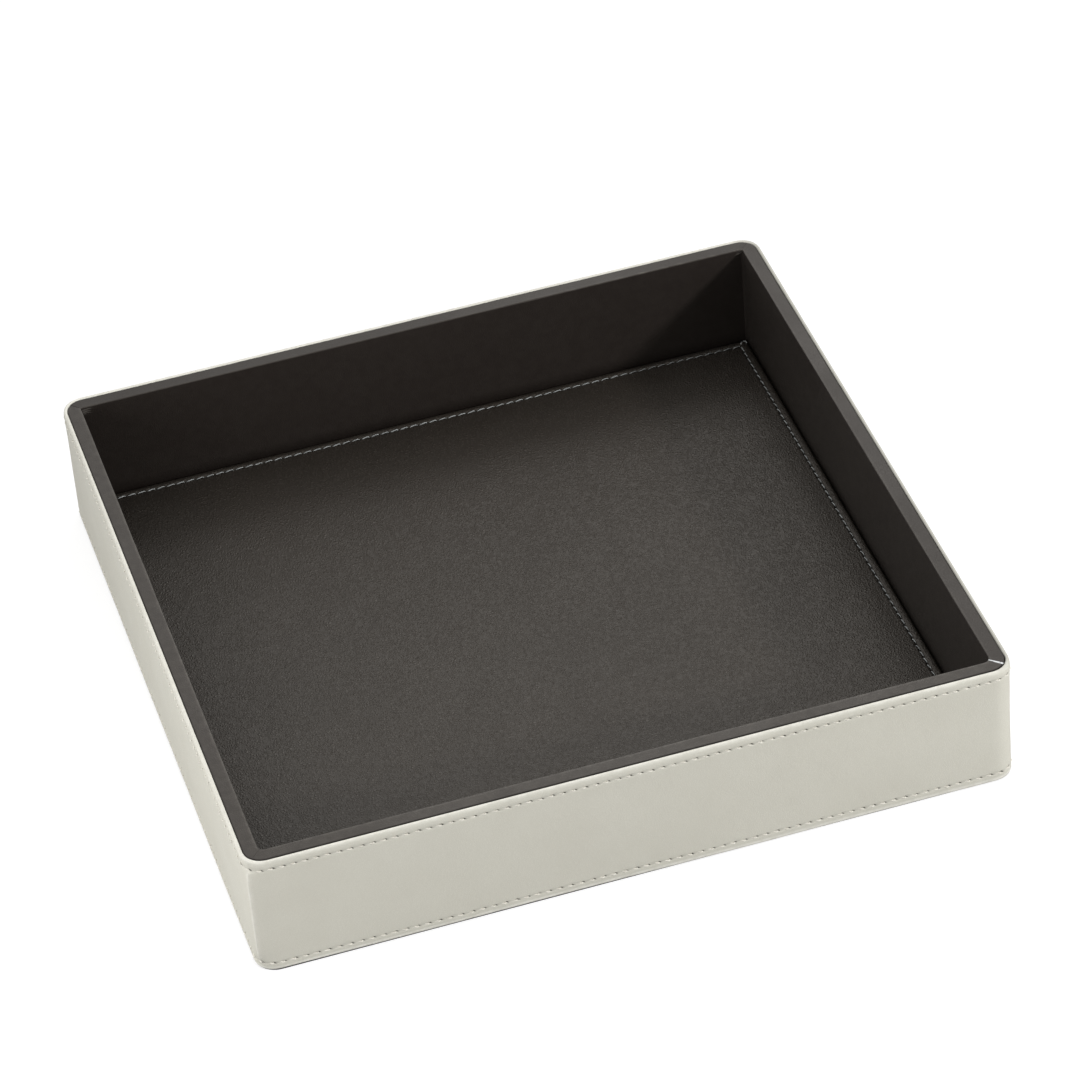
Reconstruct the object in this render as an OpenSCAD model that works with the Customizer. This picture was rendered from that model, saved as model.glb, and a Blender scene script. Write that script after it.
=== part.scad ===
// Square valet tray: a board carcass, lined in dark leather and wrapped in a sewn pale leather
// band, with a sewn leather floor pad. Millimetres, +Z up, origin at the centre of the underside.

/* [Tray] */
// Outside width, across the front
tray_w = 210; // [150:1:320]
// Outside depth, front to rear
tray_d = 210; // [150:1:320]
// Outside height
tray_h = 38; // [28:1:60]
// Radius of the lined inside corners, seen from above
inner_corner_r = 1; // [0.4:0.1:3]

/* [Boards] */
// Thickness of the wall boards
wall_board_t = 3.4; // [2.6:0.1:6]
// Thickness of the base board
base_board_t = 2.2; // [1:0.1:4]
// How far the base board's edge is let into the wall boards
base_rabbet = 1.5; // [0.5:0.1:2]
// Radius of the wall boards' two top edges
board_edge_r = 0.2; // [0.1:0.05:0.6]

/* [Wall lining] */
// Thickness of the dark lining leather
lining_t = 0.7; // [0.4:0.1:1]
// How far the lining comes down outside the boards
lining_turn_down = 10; // [5:0.5:14]
// How far the dark rim lies below the edge of the pale band
rim_drop = 0.15; // [0:0.05:0.5]

/* [Outer band] */
// Thickness of the pale leather
band_leather_t = 0.5; // [0.4:0.05:0.8]
// Thickness of the pale leather where its turned-in hems are pared down
band_leaf_t = 0.3; // [0.2:0.05:0.5]
// Thickness of the stiffener between the leather and its hems
stiffener_t = 0.3; // [0.2:0.05:0.6]
// Width of the turned-in hems
hem_w = 9; // [6:0.5:12]
// Width of the butt joint where the band's two ends meet, behind the tray
butt_gap = 0.15; // [0.05:0.05:0.5]

/* [Floor pad] */
// Gap between the pad and the lined walls
pad_gap = 0.4; // [0.2:0.1:1.5]
// Thickness of the pad's card
pad_card_t = 1; // [0.6:0.1:2]
// Thickness of the pad's foam
foam_t = 1.2; // [0.6:0.1:3]
// Thickness of the pad's leather
pad_leather_t = 0.6; // [0.4:0.05:0.8]
// Thickness of the pad's leather where it is pared down, under the card
pad_leaf_t = 0.3; // [0.2:0.05:0.5]
// Width of the leather turned in under the card
pad_hem_w = 8; // [4:0.5:14]
// Radius of the foam's corners, seen from above
foam_corner_r = 1; // [0.7:0.1:3]
// Radius of the foam's top edge
foam_edge_r = 0.35; // [0.3:0.05:0.6]

/* [Underside] */
// Thickness of the dark underside cover
underside_t = 0.4; // [0.3:0.1:1]
// How far the underside cover stops short of the band's face
underside_inset = 0.3; // [0.1:0.05:0.5]

/* [Stitching] */
// Thickness of the thread
thread_d = 0.45; // [0.3:0.05:0.6]
// Distance from one stitch to the next, on the outer band
band_pitch = 3; // [2.5:0.1:5]
// Distance from one stitch to the next, on the floor pad
pad_pitch = 2.95; // [2.5:0.05:5]
// Length left bare between one stitch and the next
stitch_space = 0.8; // [0.5:0.1:1.2]
// Distance from the band's top edge down to its top stitches
top_stitch_inset = 2.85; // [1.5:0.05:4]
// Distance from the band's lower edge up to its bottom stitches
bottom_stitch_inset = 2.3; // [1.5:0.05:4]
// Distance from the pad's edge to its stitches
pad_stitch_inset = 2.4; // [1.8:0.1:5]
// Radius of the channel that the stitches pull into the leather
channel_r = 0.5; // [0.4:0.05:0.8]
// Depth of that channel
channel_depth = 0.3; // [0.2:0.05:0.35]

/* [Hidden] */

$fn = 64;
// Reach of a cut past the face that it opens
overrun = 1;
// Slack that keeps a thread clear of the leather that it lies on
thread_clearance = 0.02;
// Sides of a thread's section
thread_sides = 5;

// The sides, as the turn that brings the front to each
FRONT = 0;
RIGHT = 90;
REAR = 180;
LEFT = 270;
SIDES = [FRONT, RIGHT, REAR, LEFT];

// Depths, measured inward from the band's outside face
band_t = band_leather_t + stiffener_t + band_leaf_t;
board_in = band_t + wall_board_t;
wall_t = board_in + lining_t;
corner_r = wall_t + inner_corner_r;
base_in = board_in - base_rabbet;
pad_in = wall_t + pad_gap;
foam_in = pad_in + pad_leather_t;

// Radii of the leather that goes round the boards' and the foam's edges
rim_r = board_edge_r + lining_t;
pad_edge_r = foam_edge_r + pad_leather_t;
pad_corner_r = foam_corner_r + pad_leather_t;

// Heights
base_top = underside_t + base_board_t;
rim_top = tray_h - rim_drop;
board_top = rim_top - lining_t;
turn_down_z = rim_top - lining_turn_down;
pad_t = pad_card_t + foam_t + pad_leather_t;
pad_top = base_top + pad_t;
top_stitch_z = tray_h - top_stitch_inset;
bottom_stitch_z = underside_t + bottom_stitch_inset;

// Distance from a channel's axis to the face that it is cut into
channel_out = channel_r - channel_depth;
// Distance from that face to the axis of the thread, inward
thread_in = channel_depth - thread_clearance - thread_d / 2;

pale = [0.77, 0.76, 0.72];
dark = [0.16, 0.15, 0.14];
rim_dark = [0.30, 0.29, 0.27];
board_grey = [0.55, 0.53, 0.49];

// Length of a side, from corner to corner
function side_len(turn) = turn % REAR == 0 ? tray_w : tray_d;
// Distance from the tray's centre to the outside face of a side
function side_out(turn) = (turn % REAR == 0 ? tray_d : tray_w) / 2;
// Length of a side between its corner arcs
function straight_len(turn) = side_len(turn) - 2 * corner_r;

// Sweeps a profile along one side, between the corner arcs. The profile's x is the depth inward
// from the band's outside face and its y is the height. The side is drawn as the front.
module straight_sweep(turn) {
    translate([-straight_len(turn) / 2, -side_out(turn), 0])
        rotate([90, 0, 90])
            linear_extrude(straight_len(turn))
                children();
}

// Sweeps such a profile from the side's right end into the corner's arc, through an angle
module corner_sweep(turn, angle) {
    translate([straight_len(turn) / 2, corner_r - side_out(turn), 0])
        rotate([0, 0, -90])
            rotate_extrude(angle = angle)
                translate([corner_r, 0])
                    mirror([1, 0])
                        children();
}

// One side with mitred ends: its straight and half of each corner
module mitred_side(turn) {
    rotate([0, 0, turn]) {
        straight_sweep(turn) children();
        corner_sweep(turn, 45) children();
        mirror([1, 0, 0])
            corner_sweep(turn, 45) children();
    }
}

// The whole way round: each side's straight and the corner at its right end
module all_round() {
    for (turn = SIDES)
        rotate([0, 0, turn]) {
            straight_sweep(turn) children();
            corner_sweep(turn, 90) children();
        }
}

// Plan of the tray at a given depth inward from the band's outside face
module plan(inset, r) {
    w = tray_w - 2 * inset;
    d = tray_d - 2 * inset;
    square([w - 2 * r, d], center = true);
    square([w, d - 2 * r], center = true);
    for (x = [-1, 1], y = [-1, 1])
        translate([x * (w / 2 - r), y * (d / 2 - r)])
            circle(r);
}

// Flat slab on that plan
module slab(inset, r, bottom, t) {
    translate([0, 0, bottom])
        linear_extrude(t)
            plan(inset, r);
}

// Section of a strip that stands on its edge, from one depth to another, with rounded top corners
module strip_section(from, to, bottom, top, r) {
    translate([from, bottom])
        square([to - from, top - r - bottom]);
    translate([from + r, bottom])
        square([to - from - 2 * r, top - bottom]);
    for (x = [from + r, to - r])
        translate([x, top - r])
            circle(r);
}

// Section of the wall boards, with the rebate that the lining is turned into and the rabbet
// that the base board is let into
module board_section() {
    difference() {
        union() {
            strip_section(band_t + lining_t, board_in, underside_t, board_top, board_edge_r);
            translate([band_t, underside_t])
                square([wall_board_t, turn_down_z - underside_t]);
        }
        translate([base_in, underside_t - overrun])
            square([base_rabbet + overrun, base_board_t + overrun]);
    }
}

// Section of the wall lining: up from the base board, over the rim and down outside the boards
module lining_section() {
    difference() {
        strip_section(band_t, wall_t, base_top, rim_top, rim_r);
        strip_section(band_t + lining_t, board_in, base_top - overrun, board_top, board_edge_r);
        translate([band_t - overrun, base_top - overrun])
            square([lining_t + 2 * overrun, turn_down_z - base_top + overrun]);
    }
}

// Section of the stiffener: full between the hems, and thin where they cover it
module stiffener_section() {
    translate([band_leather_t, underside_t + band_leather_t])
        square([stiffener_t, tray_h - underside_t - 2 * band_leather_t]);
    translate([band_leather_t, underside_t + hem_w])
        square([stiffener_t + band_leaf_t, tray_h - underside_t - 2 * hem_w]);
}

// Section of the band's leather: a strip with round folds at both edges, turned in behind the
// stiffener, with a channel for each row of stitches
module band_section() {
    fold_r = band_t / 2;
    difference() {
        union() {
            translate([0, underside_t + fold_r])
                square([band_t, tray_h - underside_t - 2 * fold_r]);
            for (z = [underside_t + fold_r, tray_h - fold_r])
                translate([fold_r, z])
                    circle(fold_r);
        }
        stiffener_section();
        translate([band_leather_t, underside_t + hem_w])
            square([band_t, tray_h - underside_t - 2 * hem_w]);
        for (z = [bottom_stitch_z, top_stitch_z])
            translate([-channel_out, z])
                circle(channel_r);
    }
}

// Flat slab with a rolled top edge
module rolled_slab(inset, r, bottom, t, edge_r) {
    slab(inset, r, bottom, t - edge_r);
    slab(inset + edge_r, r - edge_r, bottom, t);
    for (turn = SIDES) {
        half = side_len(turn) / 2 - inset - r;
        rotate([0, 0, turn]) {
            translate([-half, inset + edge_r - side_out(turn), bottom + t - edge_r])
                rotate([0, 90, 0])
                    cylinder(h = 2 * half, r = edge_r);
            translate([half, inset + r - side_out(turn), bottom + t - edge_r])
                rotate([0, 0, -90])
                    rotate_extrude(angle = 90)
                        translate([r - edge_r, 0])
                            intersection() {
                                circle(edge_r);
                                square(edge_r);
                            }
        }
    }
}

// One stitch, lying along x
module stitch(pitch) {
    rotate([0, 90, 0])
        cylinder(h = pitch - stitch_space, d = thread_d, center = true, $fn = thread_sides);
}

// A row of stitches round the outer band, in the channel at height z
module band_stitches(z) {
    for (turn = SIDES) {
        run = straight_len(turn);
        count = round(run / band_pitch);
        arc_count = round(corner_r * PI / 2 / band_pitch);
        rotate([0, 0, turn]) {
            for (i = [0 : count - 1])
                translate([(i + 0.5 - count / 2) * run / count, thread_in - side_out(turn), z])
                    stitch(band_pitch);
            translate([run / 2, corner_r - side_out(turn), z])
                for (i = [0 : arc_count - 1])
                    rotate([0, 0, (i + 0.5) * 90 / arc_count])
                        translate([0, thread_in - corner_r, 0])
                            stitch(band_pitch);
        }
    }
}

module base_board() {
    color(board_grey)
        slab(base_in, corner_r - base_in, underside_t, base_board_t);
}

module wall_board(turn) {
    color(board_grey)
        mitred_side(turn)
            board_section();
}

module wall_lining(turn) {
    color(rim_dark)
        mitred_side(turn)
            lining_section();
}

// What the pad's leather is wrapped round: the card, and the foam on it
module floor_pad_core() {
    rolled_slab(foam_in, foam_corner_r, base_top, pad_card_t + foam_t, foam_edge_r);
}

// Leather turned in under the pad's card
module pad_hem() {
    difference() {
        slab(pad_in, pad_corner_r, base_top, pad_leaf_t);
        translate([0, 0, base_top - overrun])
            linear_extrude(pad_leaf_t + 2 * overrun)
                square([tray_w - 2 * (pad_in + pad_hem_w), tray_d - 2 * (pad_in + pad_hem_w)], center = true);
    }
}

module floor_pad_card() {
    color(board_grey)
        difference() {
            slab(foam_in, foam_corner_r, base_top, pad_card_t);
            pad_hem();
        }
}

module floor_pad_foam() {
    color([0.85, 0.82, 0.70])
        difference() {
            floor_pad_core();
            slab(pad_in, pad_corner_r, base_top - overrun, pad_card_t + overrun);
        }
}

module floor_pad_leather() {
    color(dark) {
        difference() {
            rolled_slab(pad_in, pad_corner_r, base_top, pad_t, pad_edge_r);
            floor_pad_core();
            for (turn = SIDES)
                on_pad_stitch_line(turn, channel_out)
                    rotate([0, 90, 0])
                        cylinder(h = pad_stitch_len(turn) + 2 * channel_r, r = channel_r, center = true);
        }
        pad_hem();
    }
}

// Length of the pad's stitch line along one side
function pad_stitch_len(turn) = side_len(turn) - 2 * (pad_in + pad_stitch_inset);

// Puts its children on the middle of the pad's stitch line, at a height above the leather
module on_pad_stitch_line(turn, height) {
    rotate([0, 0, turn])
        translate([0, pad_in + pad_stitch_inset - side_out(turn), pad_top + height])
            children();
}

module floor_pad_stitching() {
    color([0.62, 0.62, 0.60])
        for (turn = SIDES) {
            run = pad_stitch_len(turn);
            count = round(run / pad_pitch);
            on_pad_stitch_line(turn, -thread_in)
                for (i = [0 : count - 1])
                    translate([(i + 0.5 - count / 2) * run / count, 0, 0])
                        stitch(pad_pitch);
        }
}

module band_stiffener() {
    color([0.82, 0.80, 0.74])
        all_round()
            stiffener_section();
}

module outer_leather_band() {
    color(pale)
        difference() {
            all_round()
                band_section();
            translate([-butt_gap / 2, tray_d / 2 - band_t - overrun, 0])
                cube([butt_gap, band_t + 2 * overrun, tray_h + overrun]);
        }
}

module top_stitching() {
    color([0.86, 0.84, 0.78])
        band_stitches(top_stitch_z);
}

module bottom_stitching() {
    color([0.86, 0.84, 0.78])
        band_stitches(bottom_stitch_z);
}

module underside_cover() {
    color([0.12, 0.12, 0.12])
        slab(underside_inset, corner_r - underside_inset, 0, underside_t);
}

base_board();
wall_board(FRONT);  // front_wall_board
wall_board(RIGHT);  // right_wall_board
wall_board(REAR);  // rear_wall_board
wall_board(LEFT);  // left_wall_board
wall_lining(FRONT);  // front_wall_lining
wall_lining(RIGHT);  // right_wall_lining
wall_lining(REAR);  // rear_wall_lining
wall_lining(LEFT);  // left_wall_lining
floor_pad_card();
floor_pad_foam();
floor_pad_leather();
floor_pad_stitching();
band_stiffener();
outer_leather_band();
top_stitching();
bottom_stitching();
underside_cover();
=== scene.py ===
import math

import bmesh
import bpy
import numpy as np
from mathutils import Matrix, Vector


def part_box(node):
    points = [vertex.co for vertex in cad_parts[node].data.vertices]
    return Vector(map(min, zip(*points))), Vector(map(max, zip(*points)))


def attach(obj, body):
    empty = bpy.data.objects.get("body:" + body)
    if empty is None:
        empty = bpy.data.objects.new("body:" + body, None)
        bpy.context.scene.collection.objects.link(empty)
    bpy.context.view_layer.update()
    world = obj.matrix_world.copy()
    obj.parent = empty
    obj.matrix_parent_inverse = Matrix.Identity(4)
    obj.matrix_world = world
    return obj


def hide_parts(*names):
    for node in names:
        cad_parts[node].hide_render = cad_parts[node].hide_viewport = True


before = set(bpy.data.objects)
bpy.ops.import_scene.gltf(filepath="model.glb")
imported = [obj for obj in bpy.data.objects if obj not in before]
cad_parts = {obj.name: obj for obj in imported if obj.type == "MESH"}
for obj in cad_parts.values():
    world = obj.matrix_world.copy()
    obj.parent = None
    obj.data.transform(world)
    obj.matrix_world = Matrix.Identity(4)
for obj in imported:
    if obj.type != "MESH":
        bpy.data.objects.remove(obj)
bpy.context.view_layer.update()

# Shapes are worked out in millimetres, in the CAD model's frame, and Skin.build turns them into metres
MM = 0.001
# Edges that turn by more than this are shaded as edges
SHARP = math.radians(70)


def node_box(node):
    """Lowest and highest corner of a CAD node, in millimetres."""
    low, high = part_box(node)
    return np.array(low) / MM, np.array(high) / MM


BAND_LOW, BAND_HIGH = node_box("outer_leather_band")
LINING_LOW, LINING_HIGH = node_box("front_wall_lining")
PAD_LOW, PAD_HIGH = node_box("floor_pad_leather")

# The tray, seen from above
HALF = BAND_HIGH[0]
TRAY_TOP = BAND_HIGH[2]
BAND_BOTTOM = BAND_LOW[2]
RIM_TOP = LINING_HIGH[2]
FLOOR_BOTTOM = LINING_LOW[2]
CORNER_R = 6.2
STRAIGHT = 2 * (HALF - CORNER_R)
SIDE_RUN = STRAIGHT + CORNER_R * math.pi / 2
PERIMETER = 4 * SIDE_RUN
FRONT, RIGHT, REAR, LEFT = range(4)
SIDE_NAMES = ("front", "right", "rear", "left")

# Layers of the wall, measured inward from the band's outside face
BAND_LEATHER = 0.5
STIFFENER = 0.3
BAND_LEAF = 0.3
BAND_T = BAND_LEATHER + STIFFENER + BAND_LEAF
LINING_T = 0.7
BOARD_T = 3.4
BOARD_IN = BAND_T + BOARD_T
WALL_T = BOARD_IN + LINING_T
HEM = 9.0
TURN_DOWN = 10.0

# Seams
BAND_STITCHES = 276
BAND_PITCH = PERIMETER / BAND_STITCHES
TOP_SEAM = TRAY_TOP - 2.85
BOTTOM_SEAM = BAND_BOTTOM + 2.3
JOINT = PERIMETER / 2
JOINT_GAP = 0.15

# Floor pad
PAD_HALF = PAD_HIGH[0]
PAD_BOTTOM = PAD_LOW[2]
PAD_TOP = PAD_HIGH[2]
PAD_R = 1.6
PAD_ROLL = 0.8
PAD_LEATHER = 0.6
PAD_LEAF = 0.3
PAD_HEM = 8.0
PAD_SEAM = 2.4
PAD_STITCHES = 66
PAD_SEAM_HALF = PAD_HALF - PAD_SEAM
PAD_PITCH = 2 * PAD_SEAM_HALF / PAD_STITCHES


def rng(seed):
    """Seeded random numbers, the same in each run."""
    return np.random.default_rng(seed)


def bell(x, width):
    """A smooth bump that is 1 at 0 and dies away over a width."""
    return np.exp(-((x / width) ** 2))


def ramp(x, start, end):
    """0 before start, 1 after end, smooth between."""
    t = np.clip((x - start) / (end - start), 0, 1)
    return t * t * (3 - 2 * t)


def drift(x, y, wave, seed, count=7):
    """Slow random rise and fall between about -1 and 1: a number of waves of about one length."""
    r = rng(seed)
    total = np.zeros(np.broadcast(x, y).shape)
    for _ in range(count):
        angle, phase = r.uniform(0, 2 * math.pi, 2)
        length = wave * r.uniform(0.6, 1.6)
        along = x * math.cos(angle) + y * math.sin(angle)
        total = total + np.sin(along * 2 * math.pi / length + phase)
    return total / math.sqrt(2 * count)


def waves(x, y, kind, seed):
    """Slow rise and fall of a leather's face, in millimetres. kind is its height and length."""
    height, length = kind
    return height * drift(x, y, length, seed)


def turned(x, y, quarter):
    """Points of the front side, turned by quarter turns to another side."""
    c = np.array([1, 0, -1, 0])[quarter]
    s = np.array([0, 1, 0, -1])[quarter]
    return x * c - y * s, x * s + y * c


def by_side(values, nx, ny):
    """A value that each side has its own of, blended round the corners by the outward direction."""
    front, right, rear, left = values
    across = right * np.maximum(nx, 0) + left * np.maximum(-nx, 0)
    return across + front * np.maximum(-ny, 0) + rear * np.maximum(ny, 0)


def plan(s, depth):
    """Point on the tray's plan and the direction that faces outward, for a distance s along the outside
    face from the middle of the front, and a depth inward."""
    quarter = np.floor((s + STRAIGHT / 2) / SIDE_RUN).astype(int)
    along = s + STRAIGHT / 2 - quarter * SIDE_RUN
    angle = np.maximum(along - STRAIGHT, 0) / CORNER_R
    out_x, out_y = np.sin(angle), -np.cos(angle)
    x = np.minimum(along, STRAIGHT) - STRAIGHT / 2 + (CORNER_R - depth) * out_x
    y = CORNER_R - HALF + (CORNER_R - depth) * out_y
    return turned(x, y, quarter % 4), turned(out_x, out_y, quarter % 4)


class Skin:
    """A mesh made of rows of points that strips of faces join. Marks are values on its points, which
    the materials read."""

    def __init__(self, *marks):
        self.points, self.faces, self.count = [], [], 0
        self.marks = {name: [] for name in marks}

    def row(self, x, y, z, **marks):
        """Add a row of points and give their numbers."""
        points = np.stack(np.broadcast_arrays(x, y, z), axis=-1).astype(float)
        self.points.append(points)
        for name, values in self.marks.items():
            values.append(np.broadcast_to(np.asarray(marks.get(name, 0.0), float), len(points)))
        self.count += len(points)
        return np.arange(self.count - len(points), self.count)

    def strip(self, a, b, closed=False):
        """Quads between two rows with as many points."""
        if closed:
            a, b = np.append(a, a[0]), np.append(b, b[0])
        self.faces += np.stack([a[:-1], a[1:], b[1:], b[:-1]], axis=1).tolist()

    def step(self, fine, coarse, kept, flip=False, closed=False):
        """Faces between a fine row and a coarse one, which has only the points that kept names."""
        kept = list(kept)
        if closed:
            kept = kept + [len(fine)]
            fine, coarse = np.append(fine, fine[0]), np.append(coarse, coarse[0])
        for j in range(len(kept) - 1):
            inner = fine[kept[j]:kept[j + 1] + 1].tolist()
            middle = len(inner) // 2
            left, right = int(coarse[j]), int(coarse[j + 1])
            new = [[inner[i], inner[i + 1], left] for i in range(middle)]
            new.append([inner[middle], right, left])
            new += [[inner[i], inner[i + 1], right] for i in range(middle, len(inner) - 1)]
            self.faces += [f[::-1] for f in new] if flip else new

    def cap(self, loop):
        """One face that closes an end."""
        self.faces.append([int(i) for i in loop])

    def build(self, name, material):
        """The finished piece, with its sharp edges shaded as edges."""
        mesh = bpy.data.meshes.new(name)
        mesh.from_pydata(np.concatenate(self.points) * MM, [], self.faces)
        for mark, values in self.marks.items():
            layer = mesh.attributes.new(mark, "FLOAT", "POINT")
            layer.data.foreach_set("value", np.concatenate(values).astype(np.float32))
        made = bmesh.new()
        made.from_mesh(mesh)
        bmesh.ops.recalc_face_normals(made, faces=made.faces)
        made.to_mesh(mesh)
        made.free()
        mesh.polygons.foreach_set("use_smooth", np.ones(len(mesh.polygons), bool))
        mesh.set_sharp_from_angle(angle=SHARP)
        mesh.materials.append(material)
        piece = bpy.data.objects.new(name, mesh)
        bpy.context.scene.collection.objects.link(piece)
        return piece


def place(piece, slot, *nodes):
    """Put a piece on the tray's one body, in place of the CAD nodes that it stands for."""
    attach(piece, "root")
    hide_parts(*nodes)
    return piece


# Materials


class Nodes:
    """The node tree of a material or the world, to which nodes are added one by one."""

    def __init__(self, owner):
        owner.use_nodes = True
        self.tree = owner.node_tree

    def set(self, node, sockets):
        """Set a node's inputs to values, or link them to outputs."""
        for key, value in sockets.items():
            if isinstance(value, bpy.types.NodeSocket):
                self.tree.links.new(value, node.inputs[key])
            else:
                node.inputs[key].default_value = value

    def node(self, kind, sockets=(), out=0, **settings):
        """Add a node with its inputs and settings, and give one of its outputs."""
        made = self.tree.nodes.new("ShaderNode" + kind)
        for key, value in settings.items():
            setattr(made, key, value)
        self.set(made, dict(sockets))
        return made.outputs[out]

    def map(self, value, low, high, to_low=0.0, to_high=1.0, smooth=True):
        """Carry a value from one range over to another, and keep it within that."""
        sockets = {"Value": value, 1: low, 2: high, 3: to_low, 4: to_high}
        return self.node("MapRange", sockets, interpolation_type="SMOOTHSTEP" if smooth else "LINEAR")

    def math(self, operation, a, b=0.0):
        """A sum, product or other result of two values."""
        return self.node("Math", {0: a, 1: b}, operation=operation)


class Shader(Nodes):
    """A material with the nodes that its colour, gloss and bump come from."""

    def __init__(self, name, roughness=0.5, **sockets):
        self.material = bpy.data.materials.new(name)
        super().__init__(self.material)
        self.surface = self.tree.nodes["Principled BSDF"]
        self.set(self.surface, {"Roughness": roughness, **sockets})

    def position(self, stretch=(1, 1, 1)):
        """Position on the object, in metres."""
        where = self.node("TexCoord", out=3)
        if stretch == (1, 1, 1):
            return where
        return self.node("Mapping", {"Vector": where, "Scale": stretch})

    def noise(self, size, detail=2.0, rough=0.5, where=None):
        """Soft noise whose blobs are about size millimetres across, from 0 to 1."""
        sockets = {"Vector": where or self.position(), "Scale": 1 / (size * MM), "Detail": detail}
        return self.node("TexNoise", sockets | {"Roughness": rough})

    def cells(self, size, where):
        """Distance to the edge of the nearest of random cells about size millimetres across."""
        sockets = {"Vector": where, "Scale": 1 / (size * MM)}
        return self.node("TexVoronoi", sockets, feature="DISTANCE_TO_EDGE")

    def wander(self, where, size, amount):
        """Position pushed about by noise, so that cells aren't straight-sided."""
        push = self.node("TexNoise", {"Vector": where, "Scale": 1 / (size * MM), "Detail": 1.0}, out=1)
        moved = self.node("VectorMath", {0: push, 1: (0.5, 0.5, 0.5)}, operation="SUBTRACT")
        scaled = self.node("VectorMath", {0: moved, "Scale": amount * MM}, operation="SCALE")
        return self.node("VectorMath", {0: where, 1: scaled}, operation="ADD")

    def mix(self, share, a, b):
        """Colour a where share is 0, colour b where it is 1."""
        return self.node("Mix", {0: share, 6: a, 7: b}, out=2, data_type="RGBA")

    def mark(self, name):
        """A value that the mesh has on its points."""
        return self.node("Attribute", out=2, attribute_name=name)

    def bump(self, height, depth, normal=None):
        """A normal for a height that goes from 0 to depth millimetres."""
        sockets = {"Height": height, "Distance": depth * MM}
        if normal is not None:
            sockets["Normal"] = normal
        return self.node("Bump", sockets)

    def finish(self, **sockets):
        """Set the surface's last inputs and give the material."""
        self.set(self.surface, {key.replace("_", " "): value for key, value in sockets.items()})
        return self.material


def rgb(r, g, b):
    """A colour as a screen shows it, from 0 to 255, as the shader wants it."""
    linear = [((c / 255 + 0.055) / 1.055) ** 2.4 if c > 10.3 else c / 3294.6 for c in (r, g, b)]
    return (*linear, 1.0)


# Sizes in the leathers and threads, in millimetres: pores, wrinkles, rubbed spots, patches of flatter
# grain, slow changes of tone, a thread's fibres and its thicker places
PORE_SIZE = 0.12
WRINKLE_SIZE = 3.0
RUB_SIZE = 2.4
PATCH_SIZE = 9.0
TONE_SIZE = 26.0
FIBRE_SIZE = 0.09
SLUB_SIZE = 1.7


def leather(name, colour, crease, wear_and_highlight, hole_shade_and_glue, painted_shade_colour, grain, grain_depth, roughness, mottle=0.35,
            tint=(1, 1, 1, 1), wrinkle=0.0, uneven=1.0):
    """Leather with a pebbled grain, fine pores and slow changes of tone. It reads three marks: needle
    holes, darkened as painted shade (on the lining, pale glue that also paints a glint); painted shade by
    gaps, channels, creases and corners; and edges lighter by wear and painted highlight. Wrinkles are
    soft and a few millimetres apart. uneven is how much the grain's depth and the gloss change from place
    to place."""
    m = Shader(name, **{"Specular Tint": tint})
    where = m.wander(m.position(), grain * 2.2, grain * 0.7)
    pebbles = m.map(m.cells(grain, where), 0.0, 0.42)
    pores = m.noise(PORE_SIZE, detail=3.0, rough=0.6)
    slow = m.noise(TONE_SIZE, detail=3.0, rough=0.55)
    cloud = m.map(slow, 0.3, 0.7, smooth=False)
    height = m.math("ADD", pebbles, m.math("MULTIPLY", pores, 0.45))
    patchy = m.map(m.noise(PATCH_SIZE, detail=2.0), 0.25, 0.75, 1 - 0.45 * uneven, 1.0)
    height = m.math("MULTIPLY", height, patchy)
    tone = m.mix(m.math("MULTIPLY", cloud, mottle), colour, crease)
    tone = m.mix(m.map(pebbles, 0.0, 0.7, 0.35, 0.0), tone, crease)
    rub = m.map(m.noise(RUB_SIZE, detail=4.0, rough=0.65), 0.35, 0.65, 0.45, 1.0)
    # Lighter where worn and by painted highlight and sheen
    tone = m.mix(m.math("MULTIPLY", m.mark("edge"), rub), tone, wear_and_highlight)
    # Painted shade by gaps, channels, creases and corners
    tone = m.mix(m.mark("groove"), tone, painted_shade_colour)
    # Needle holes darkened as painted shade; on the lining, near-white glue that also paints its glint
    tone = m.mix(m.mark("hole"), tone, hole_shade_and_glue)
    shine = m.math("MULTIPLY", m.math("SUBTRACT", 1.0, pebbles), 0.10)
    shine_range = (roughness - 0.04 * uneven, roughness + 0.05 * uneven)
    shine = m.math("ADD", shine, m.map(slow, 0.3, 0.7, *shine_range, smooth=False))
    shine = m.math("SUBTRACT", shine, m.math("MULTIPLY", m.mark("edge"), 0.12))
    normal = m.bump(height, grain_depth)
    if wrinkle:
        normal = m.bump(m.noise(WRINKLE_SIZE, detail=2.0, rough=0.5), wrinkle, normal)
    return m.finish(Base_Color=tone, Roughness=shine, Normal=normal)


def thread(name, light, dark):
    """Spun thread: plies and fuzz in slightly different tones."""
    finish = {"Specular IOR Level": 0.35, "Sheen Weight": 0.25, "Sheen Roughness": 0.4}
    m = Shader(name, roughness=0.62, **finish)
    fibres = m.noise(FIBRE_SIZE, detail=3.0, rough=0.7)
    slub = m.noise(SLUB_SIZE, detail=2.0)
    tone = m.mix(m.map(fibres, 0.3, 0.7, 0.0, 0.55), light, dark)
    tone = m.mix(m.map(slub, 0.3, 0.7, 0.0, 0.4), tone, dark)
    # Both ends of each stitch darker where it dives into its hole: painted shade
    tone = m.mix(m.mark("sunk"), tone, dark)
    return m.finish(Base_Color=tone, Normal=m.bump(fibres, 0.03))


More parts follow.
